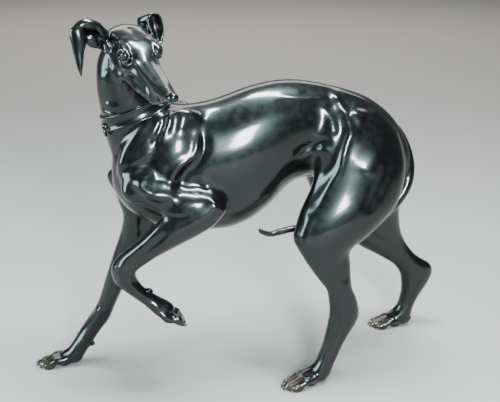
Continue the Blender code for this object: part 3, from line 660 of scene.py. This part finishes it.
bodyCarving = {
    # which side is carved, and between which distances from the middle
    "reach": {
        "left": (leftSide, 20, 400), "right": (rightSide, 20, 400), "leftLegs": (leftSide, 88, 400),
        "rightLegs": (rightSide, 88, 400), "farLegs": (leftSide, -150, -45)},
    "left": [
        # thigh: its front crest, the flat before it and the hip
        ([(188, 724), (197, 715), (207, 695), (213, 670), (217, 649), (209, 627), (199, 599), (191, 563),
          (173, 534), (152, 500), (138, 470)], 8, 4.5),
        ([(175, 696), (189, 671), (193, 642), (185, 614), (174, 581), (164, 555), (146, 520), (124, 483),
          (107, 450)], 15, -4.5),
        ([(200, 691), (209, 673), (214, 652)], 4.5, -2.5),
        ([(184, 728), (196, 722), (205, 712)], 7, 3),
        ([(228, 693), (240, 683), (259, 668)], 17, 4.5),
        ([(233, 651), (229, 641), (223, 625)], 12, 3),
        ([(294, 595), (276, 582), (261, 564), (248, 545)], 22, 4),
        ([(318, 620), (308, 570), (285, 520), (262, 478), (250, 450)], 16, -3),
        # flank and back
        ([(162, 718), (166, 697), (177, 674), (181, 651), (182, 640)], 11, 4),
        ([(80, 596), (112, 604), (140, 614), (161, 624), (176, 632)], 12, -6),
        ([(116, 586), (135, 600), (151, 610), (167, 619)], 9, 4.5),
        ([(40, 722), (69, 728), (103, 723), (151, 721), (180, 719)], 6, 2),
        ([(189, 730), (219, 725), (247, 716), (275, 703), (299, 684), (321, 666)], 8, 2),
        ([(100, 736), (150, 735), (205, 724)], 8, -2),
        # shoulder blade: front edge, hollow and folds of skin
        ([(-225, 707), (-248, 686), (-274, 662), (-299, 633), (-307, 614), (-310, 591), (-313, 570)], 9, 4),
        ([(-243, 706), (-260, 688), (-284, 664), (-309, 634), (-317, 607), (-320, 588)], 11, -3),
        ([(-203, 710), (-213, 685), (-222, 667), (-231, 648), (-237, 628)], 9, -6),
        ([(-212, 706), (-219, 692), (-230, 671), (-239, 650)], 6, 2.5),
        ([(-197, 710), (-199, 694), (-206, 676), (-218, 657), (-230, 638)], 8, 3),
        ([(-181, 710), (-184, 694), (-189, 676), (-196, 655)], 10, -3),
        ([(-166, 708), (-168, 694), (-171, 680), (-177, 662)], 8, 1.5),
        ([(-238, 623), (-255, 617), (-271, 609), (-287, 605)], 6, 2.5),
        ([(-249, 611), (-268, 603), (-284, 598), (-297, 587)], 6, 2),
        # its rear edge, which runs on as the front of the upper arm
        ([(-141, 676), (-136, 654), (-140, 633), (-146, 615), (-160, 605), (-177, 595), (-191, 582),
          (-200, 566), (-203, 547), (-201, 534)], 8, 5),
        ([(-122, 676), (-124, 653), (-123, 634), (-129, 612), (-142, 595), (-160, 580), (-174, 564),
          (-183, 546), (-186, 528)], 11, -6.5),
        # point of the shoulder, with the dish below it
        ([(-313, 568), (-299, 570), (-287, 577), (-269, 584), (-255, 582), (-248, 576), (-254, 570),
          (-265, 565), (-273, 558), (-270, 545), (-254, 535), (-233, 530), (-211, 532)], 8, 4.5),
        ([(-236, 572), (-238, 556), (-230, 545)], 14, -3),
        ([(-312, 556), (-293, 546), (-274, 525), (-249, 512), (-221, 506), (-196, 512)], 12, -7),
        # elbow
        ([(-147, 577), (-130, 553), (-113, 528), (-100, 512), (-94, 495)], 7, 2.5),
        ([(-150, 560), (-135, 537), (-121, 519), (-110, 502)], 7, -2),
        ([(-140, 532), (-128, 523), (-116, 511), (-104, 495)], 8, 2.5),
        ([(-160, 487), (-188, 488), (-213, 484), (-228, 474)], 7, 3)],
    "leftLegs": [
        # stifle, shin, hollow before the tendon, hock and the bone below it
        ([(125, 460), (116, 441), (107, 415), (103, 390), (107, 363)], 10, 3),
        ([(116, 359), (140, 311), (162, 271), (179, 243)], 9, 3),
        ([(190, 352), (204, 310), (213, 270)], 13, -3.5),
        ([(183, 262), (193, 231), (205, 205), (206, 191), (198, 177)], 8, 4),
        ([(190, 194), (187, 167), (183, 139), (176, 106), (162, 68), (150, 43), (138, 32)], 7, 4.5),
        ([(215, 182), (209, 147), (200, 111), (186, 72), (172, 42)], 8, -4.5),
        # forearm, wrist and the tendons below it
        ([(-217, 478), (-238, 452), (-262, 426), (-285, 405), (-309, 385), (-324, 367), (-336, 351)], 7, 4),
        ([(-205, 462), (-231, 435), (-259, 411), (-282, 390), (-300, 372), (-307, 354)], 9, -4.5),
        ([(-318, 376), (-326, 360), (-327, 341), (-321, 327)], 6.5, 4),
        ([(-320, 332), (-303, 312), (-285, 292), (-266, 273)], 5.5, 3.5),
        ([(-307, 334), (-289, 309), (-267, 285)], 5.5, -3.5)],
    # the inner sides of the right legs
    "farLegs": [
        ([(-265, 400), (-275, 375), (-290, 353)], 9, 3),
        ([(-374, 180), (-380, 164), (-395, 132), (-416, 96), (-438, 65), (-460, 41)], 6.5, 4),
        ([(-361, 165), (-380, 128), (-400, 95), (-422, 63)], 8, -4.5),
        ([(-394, 172), (-378, 167), (-360, 171)], 5, -2.5),
        ([(300, 352), (345, 312), (400, 275), (450, 245)], 10, -5),
        ([(482, 178), (486, 140), (482, 105), (472, 70)], 8, 4)],
    "rightLegs": [
        ([(255, 345), (300, 300), (350, 262), (410, 230), (455, 205)], 9, 3),
        ([(300, 350), (345, 310), (400, 272), (450, 245)], 10, -4.5),
        ([(490, 190), (492, 160), (490, 125), (480, 90), (470, 60)], 7, 4),
        ([(518, 180), (518, 140), (508, 105), (495, 75)], 8, -4),
        ([(-300, 420), (-320, 360), (-343, 300), (-362, 250), (-378, 200)], 8, 3.5),
        ([(-270, 410), (-300, 350), (-325, 290), (-340, 245)], 9, -3.5),
        ([(-392, 165), (-410, 125), (-432, 90), (-452, 60)], 6.5, 4)],
    "right": [
        ([(184, 724), (206, 690), (216, 655), (216, 615), (210, 570), (214, 530), (226, 480)], 9, 4.5),
        ([(182, 690), (192, 655), (192, 615), (188, 575), (194, 530)], 15, -4),
        ([(80, 596), (112, 604), (140, 614), (172, 630)], 12, -6),
        ([(40, 722), (69, 728), (103, 723), (151, 721), (180, 719)], 6, 2),
        ([(189, 730), (219, 725), (247, 716), (275, 703), (299, 684), (321, 666)], 8, 2),
        ([(250, 660), (262, 600), (290, 540), (320, 480)], 20, 4),
        ([(330, 620), (336, 560), (350, 500), (365, 440)], 14, -3.5),
        ([(-225, 707), (-248, 686), (-274, 662), (-299, 633), (-312, 600), (-322, 565)], 9, 4),
        ([(-243, 706), (-260, 688), (-284, 664), (-309, 634)], 11, -3),
        ([(-203, 710), (-213, 685), (-222, 667), (-231, 648)], 9, -4),
        ([(-148, 680), (-142, 640), (-152, 600), (-172, 560), (-182, 510)], 9, 4.5),
        ([(-128, 685), (-122, 640), (-132, 590), (-154, 545)], 12, -5),
        ([(-318, 540), (-280, 520), (-250, 500)], 10, -4)],
}


def carveBody(skin):
    for name, (side, least, most) in bodyCarving["reach"].items():
        carve(skin, bodyCarving[name], (1, 0, 0), (0, 0, 1), (0, side, 0), least=least, most=most)


# carving on the head, drawn from its side in ahead and up, and from above in ahead and left

headCarving = {
    # distances between which skin is carved, from the head's place or from the eye
    "reach": {"side": (4, 57), "nostrils": (4, 1000), "above": (-10, 1000), "socket": (-12, 1000)},
    "side": [
        ([(104, 15), (118, 10), (146, 4), (175, 2), (203, 0), (237, -2)], 3.2, 3),
        ([(122, -2), (150, -7), (185, -10), (212, -14)], 7, -1.6),
        ([(50, -25), (79, -23), (107, -14), (119, -9), (135, -11), (163, -17), (188, -18), (196, -25),
          (204, -37), (211, -46)], 3.5, 2),
        ([(60, -32), (95, -29), (125, -21), (160, -26), (185, -29), (196, -39)], 6.5, -4),
        ([(66, 37), (84, 38), (104, 32)], 7, 1.2),
        ([(38, 22), (47, 30), (62, 35)], 5, 2),
        ([(112, -50), (130, -45), (139, -50), (134, -58)], 4, 2),
        ([(34, 12), (46, 17), (60, 22)], 6, -3),
        ([(146, -54), (174, -47), (193, -48)], 3.5, 2.5),
        ([(155, -45), (182, -33), (192, -36)], 3.5, 2),
        ([(150, -50), (178, -41), (192, -43)], 3, -2.5),
        ([(236, -9), (246, -16), (256, -20)], 4, -1.5)],
    "neck": [
        ([(-338, 731), (-322, 722), (-305, 723)], 7, 2.5),
        ([(-344, 710), (-328, 704), (-308, 700)], 6, 2.5),
        ([(-338, 800), (-334, 780), (-326, 762)], 12, 2.5),
        ([(-306, 800), (-298, 780), (-286, 764)], 12, 2.5)],
    "above": [
        ([(10, 0), (45, 0), (85, 0)], 9, -2)],
    "nostrils": [([(266, -5), (264, -8), (260, -9)], 2.6, -5)],
    "socket": (4.5, -4),    # width and height of the groove under the eye
}


def carveHead(skin):
    ahead, left, up = (fromHead(v) for v in ((1, 0, 0), (0, 1, 0), (0, 0, 1)))
    place, reach = headShape["place"], headCarving["reach"]
    wide, high = (eyeShape["socketReach"] * share for share in eyeShape["oval"])
    below = [(math.cos(math.pi * k / 6) * wide, math.sin(math.pi * k / 6) * high) for k in range(5, 14)]
    for side in bothSides:
        carve(skin, headCarving["side"], ahead, up, left * side, place, *reach["side"])
        carve(skin, headCarving["nostrils"], ahead, up, left * side, place, *reach["nostrils"])
        aim, across, lift, centre = eyeAxes(side)
        carve(skin, [(below, *headCarving["socket"])], fromHead(across), fromHead(lift), fromHead(aim),
              fromHead(centre) + place, *reach["socket"])
    carve(skin, headCarving["above"], ahead, left, up, place, *reach["above"])
    carve(skin, headCarving["neck"], (1, 0, 0), (0, 0, 1), (0, leftSide, 0))


# the cast is grown in stages, so that broad forms melt together and small ones stay crisp

castShape = {
    # size of the skin's cells, and how much coarser the first stage is
    "grain": 4.1, "coarse": 1.6, "headGrain": 1.9, "headCoarse": 1.5,
    # how far each stage is softened
    "broad": 12, "limbs": 5, "fine": 2.8, "throat": 9, "face": 2.6, "headFine": 1.8,
}


def growBody():
    grain = castShape["grain"]
    neck = edgeLoft(neckShape["edges"][:neckShape["seam"]])
    mass = fused([makeTrunk(), neck, edgeLoft(haunchShapes["left"]), edgeLoft(haunchShapes["right"]),
                  *makeShoulders()], grain * castShape["coarse"], castShape["broad"])
    limbs = fused([mass, *(edgeLoft(rows) for rows in legShapes.values())], grain, castShape["limbs"])
    carveBody(limbs)
    paws = [body for name in pawShape["places"] for body in makePaw(name)]
    heading, halfSizes = pawShape["padHeading"], pawShape["padSizes"]
    pads = [ellipsoid(place, heading, halfSizes) for place in pawShape["wristPads"]]
    skin = fused([limbs, makeTail(), *paws, *pads], grain, castShape["fine"])
    # the soles are cut flat where they meet the floor
    cut = bmesh.ops.bisect_plane(skin, geom=skin.verts[:] + skin.edges[:] + skin.faces[:], dist=0.01,
                                 plane_co=(0, 0, 0), plane_no=(0, 0, 1), clear_inner=True)
    for piece in cut["geom_cut"]:
        if isinstance(piece, bmesh.types.BMVert):
            piece.co.z = 0
    bmesh.ops.holes_fill(skin, edges=[edge for edge in skin.edges if edge.is_boundary], sides=0)
    return skin


def growHead():
    grain = castShape["headGrain"]
    place = headPlace()
    neck = edgeLoft(neckShape["edges"][neckShape["seam"] - 2:])
    throat = [moved(body, place) for body in makeThroat()]
    base = fused([neck, *throat], grain * castShape["headCoarse"], castShape["throat"])
    face = [moved(body, place) for body in [makeSkull(), *makeFace()]]
    core = fused([base, *face], grain, castShape["face"])
    carveHead(core)
    ears = [moved(body, place) for body in makeEars()]
    return fused([core, *ears], grain, castShape["headFine"])


# pieces

def makePiece(name, body):
    mesh = bpy.data.meshes.new(name)
    body.to_mesh(mesh)
    body.free()
    item = bpy.data.objects.new(name, mesh)
    bpy.context.scene.collection.objects.link(item)
    mesh.shade_smooth()
    return item


pieces = [makePiece("greyhound_body", growBody())]
print("body grown:", len(pieces[0].data.polygons), "faces")
pieces.append(makePiece("greyhound_head", growHead()))
print("head grown:", len(pieces[1].data.polygons), "faces")
pieces.append(makePiece("greyhound_eyes", makeEyes()))
pieces.append(makePiece("greyhound_nails", makeNails()))
pieces.append(makePiece("greyhound_collar", makeCollar()))
print("eyes, nails and collar made")


def placeOnFrame(items):
    # from millimetres to metres, with the middle of the drawing's box over the middle of the cast's
    corners = np.vstack([np.array([v.co for v in item.data.vertices]) for item in items])
    x, y = (corners.min(axis=0) + corners.max(axis=0))[:2] / 2 * millimetre
    shift = Vector(((dogLow[0] + dogHigh[0]) / 2 - x, (dogLow[1] + dogHigh[1]) / 2 - y, dogLow[2]))
    for item in items:
        item.data.transform(Matrix.Translation(shift) @ Matrix.Scale(millimetre, 4))
    return shift


millimetre = 0.001          # the drawing's unit in metres
shift = placeOnFrame(pieces)
print("placed on the frame")


# finish: near-black patina under wax, rubbed to warm bronze where it is handled or stands proud

patina = {
    "dark": (0.004, 0.005, 0.005, 1), "green": (0.012, 0.019, 0.018, 1), "rubbed": (0.20, 0.15, 0.09, 1),
    "metallic": 0.9, "coat": 0.7, "coatRoughness": 0.12, "roughness": (0.28, 0.40),
    # scale and detail of the noises
    "cloud": (7, 5), "grain": (60, 4), "wave": (18, 3),
    "waveDepth": 0.0012, "waveStrength": 0.25,
    "grainRange": (0.3, 0.7), "brokenRange": (0.35, 0.6, 0.35, 1),
    # where it is rubbed: place in the drawing, reach and strength
    "places": {
        "nose": ((-352, -272, 792), 22, 0.5),
        "raised toes": ((-190, -90, 195), 30, 0.25), "hind toes": ((70, -135, 15), 36, 0.25),
        "fore toes": ((-535, 103, 15), 36, 0.25), "far hind toes": ((395, 120, 15), 36, 0.25),
        "knob": ((-345, -32, 672), 18, 0.35)},
}


def mixColours(nodes, links, share, one, two):
    mix = nodes.new("ShaderNodeMix")
    mix.data_type = "RGBA"
    links.new(share, mix.inputs["Factor"])
    for name, colour in (("A", one), ("B", two)):
        if isinstance(colour, tuple):
            mix.inputs[name].default_value = colour
        else:
            links.new(colour, mix.inputs[name])
    return mix.outputs["Result"]


def makeNoise(nodes, links, place, scale, detail):
    noise = nodes.new("ShaderNodeTexNoise")
    noise.inputs["Scale"].default_value = scale
    noise.inputs["Detail"].default_value = detail
    links.new(place, noise.inputs["Vector"])
    return noise.outputs["Fac"]


def mapRange(nodes, links, value, low, high, toLow, toHigh):
    ramp = nodes.new("ShaderNodeMapRange")
    ramp.interpolation_type = "SMOOTHSTEP"
    for name, number in (("From Min", low), ("From Max", high), ("To Min", toLow), ("To Max", toHigh)):
        ramp.inputs[name].default_value = number
    links.new(value, ramp.inputs["Value"])
    return ramp.outputs["Result"]


def rubbedShare(nodes, links, place, grain):
    # full close to each rubbed place, fading out past its reach and broken up by the grain
    total = None
    for centre, reach, strength in patina["places"].values():
        gap = nodes.new("ShaderNodeVectorMath")
        gap.operation = "DISTANCE"
        gap.inputs[1].default_value = Vector(centre) * millimetre + shift
        links.new(place, gap.inputs[0])
        near, far = reach * millimetre / 3, reach * millimetre / 0.7
        spot = mapRange(nodes, links, gap.outputs["Value"], near, far, strength, 0)
        if total is None:
            total = spot
            continue
        most = nodes.new("ShaderNodeMath")
        most.operation = "MAXIMUM"
        links.new(total, most.inputs[0])
        links.new(spot, most.inputs[1])
        total = most.outputs[0]
    broken = nodes.new("ShaderNodeMath")
    broken.operation = "MULTIPLY"
    links.new(total, broken.inputs[0])
    links.new(mapRange(nodes, links, grain, *patina["brokenRange"]), broken.inputs[1])
    return broken.outputs[0]


def makePatina(name):
    material = bpy.data.materials.new(name)
    material.use_nodes = True
    nodes, links = material.node_tree.nodes, material.node_tree.links
    shader = nodes["Principled BSDF"]
    shader.inputs["Metallic"].default_value = patina["metallic"]
    shader.inputs["Coat Weight"].default_value = patina["coat"]
    shader.inputs["Coat Roughness"].default_value = patina["coatRoughness"]
    place = nodes.new("ShaderNodeTexCoord").outputs["Object"]
    cloud = makeNoise(nodes, links, place, *patina["cloud"])
    grain = makeNoise(nodes, links, place, *patina["grain"])
    tone = mixColours(nodes, links, cloud, patina["dark"], patina["green"])
    share = rubbedShare(nodes, links, place, grain)
    gloss = mapRange(nodes, links, grain, *patina["grainRange"], *patina["roughness"])
    links.new(mixColours(nodes, links, share, tone, patina["rubbed"]), shader.inputs["Base Color"])
    links.new(gloss, shader.inputs["Roughness"])
    wave = nodes.new("ShaderNodeBump")
    wave.inputs["Strength"].default_value = patina["waveStrength"]
    wave.inputs["Distance"].default_value = patina["waveDepth"]
    links.new(makeNoise(nodes, links, place, *patina["wave"]), wave.inputs["Height"])
    links.new(wave.outputs["Normal"], shader.inputs["Normal"])
    return material


bronze = makePatina("patinated bronze")
for piece in pieces:
    piece.data.materials.append(bronze)
    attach(piece, "root")
    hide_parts("greyhound")
print("finish laid on")


# studio: a pale floor, soft lights and the camera at the photo's angle

studio = {
    "floor": (0.24, 0.232, 0.22, 1), "floorRoughness": 0.9, "floorReach": 14,
    "sky": (0.95, 0.97, 1, 1), "skyStrength": 0.13,
    # angles in degrees, distance in metres, focal length and frame in pixels of the photo
    "cameraTurn": -12, "cameraTilt": 20, "cameraReach": 1.9, "cameraAim": (0, 0, 0.46),
    "focal": 772, "frameWidth": 500, "sensor": 36,
    # place, aim, width, height, turn in its own plane, power, colour
    "lights": {
        "window": ((0.2, -3.1, 1.6), (0, 0, 0.5), 0.6, 1.15, 0, 350, (0.90, 0.96, 1.0)),
        "ceiling strip": ((0.35, -0.15, 3.1), (0.35, -0.15, 0), 2.2, 0.34, -50, 380, (0.88, 0.97, 1.0)),
        "side window": ((-2.9, -0.3, 1.5), (0, 0, 0.9), 1.7, 2.2, 0, 230, (0.72, 0.95, 0.98)),
        "far floor": ((0.6, 6.5, 4.5), (0.9, 7.5, 0), 9, 6, 0, 660, (1.0, 0.98, 0.95))},
}


def makeStudio():
    bpy.ops.mesh.primitive_plane_add(size=2 * studio["floorReach"])
    floor = bpy.context.object
    floor.name = "floor"
    paint = bpy.data.materials.new("floor paint")
    paint.use_nodes = True
    shader = paint.node_tree.nodes["Principled BSDF"]
    shader.inputs["Base Color"].default_value = studio["floor"]
    shader.inputs["Roughness"].default_value = studio["floorRoughness"]
    floor.data.materials.append(paint)

    world = bpy.data.worlds.new("studio")
    world.use_nodes = True
    sky = world.node_tree.nodes["Background"]
    sky.inputs["Color"].default_value = studio["sky"]
    sky.inputs["Strength"].default_value = studio["skyStrength"]
    bpy.context.scene.world = world

    for name, (spot, aim, width, height, turn, power, colour) in studio["lights"].items():
        lamp = bpy.data.lights.new(name, "AREA")
        lamp.shape = "RECTANGLE"
        lamp.size, lamp.size_y = width, height
        lamp.energy = power
        lamp.color = colour
        item = bpy.data.objects.new(name, lamp)
        item.location = spot
        facing = (Vector(aim) - Vector(spot)).to_track_quat("-Z", "Y")
        item.rotation_euler = (facing @ Quaternion((0, 0, 1), math.radians(turn))).to_euler()
        bpy.context.scene.collection.objects.link(item)


def makeCamera():
    turn, tilt = math.radians(studio["cameraTurn"]), math.radians(studio["cameraTilt"])
    back = Vector((math.sin(turn) * math.cos(tilt), -math.cos(turn) * math.cos(tilt), math.sin(tilt)))
    right = Vector((math.cos(turn), math.sin(turn), 0))
    up = back.cross(right)
    lens = bpy.data.cameras.new("camera")
    lens.sensor_width = studio["sensor"]
    lens.lens = studio["focal"] / studio["frameWidth"] * studio["sensor"]
    item = bpy.data.objects.new("camera", lens)
    spot = Vector(studio["cameraAim"]) + back * studio["cameraReach"] + shift
    item.matrix_world = Matrix.Translation(spot) @ Matrix((right, up, back)).transposed().to_4x4()
    bpy.context.scene.collection.objects.link(item)
    bpy.context.scene.camera = item


makeStudio()
makeCamera()
print("studio set")
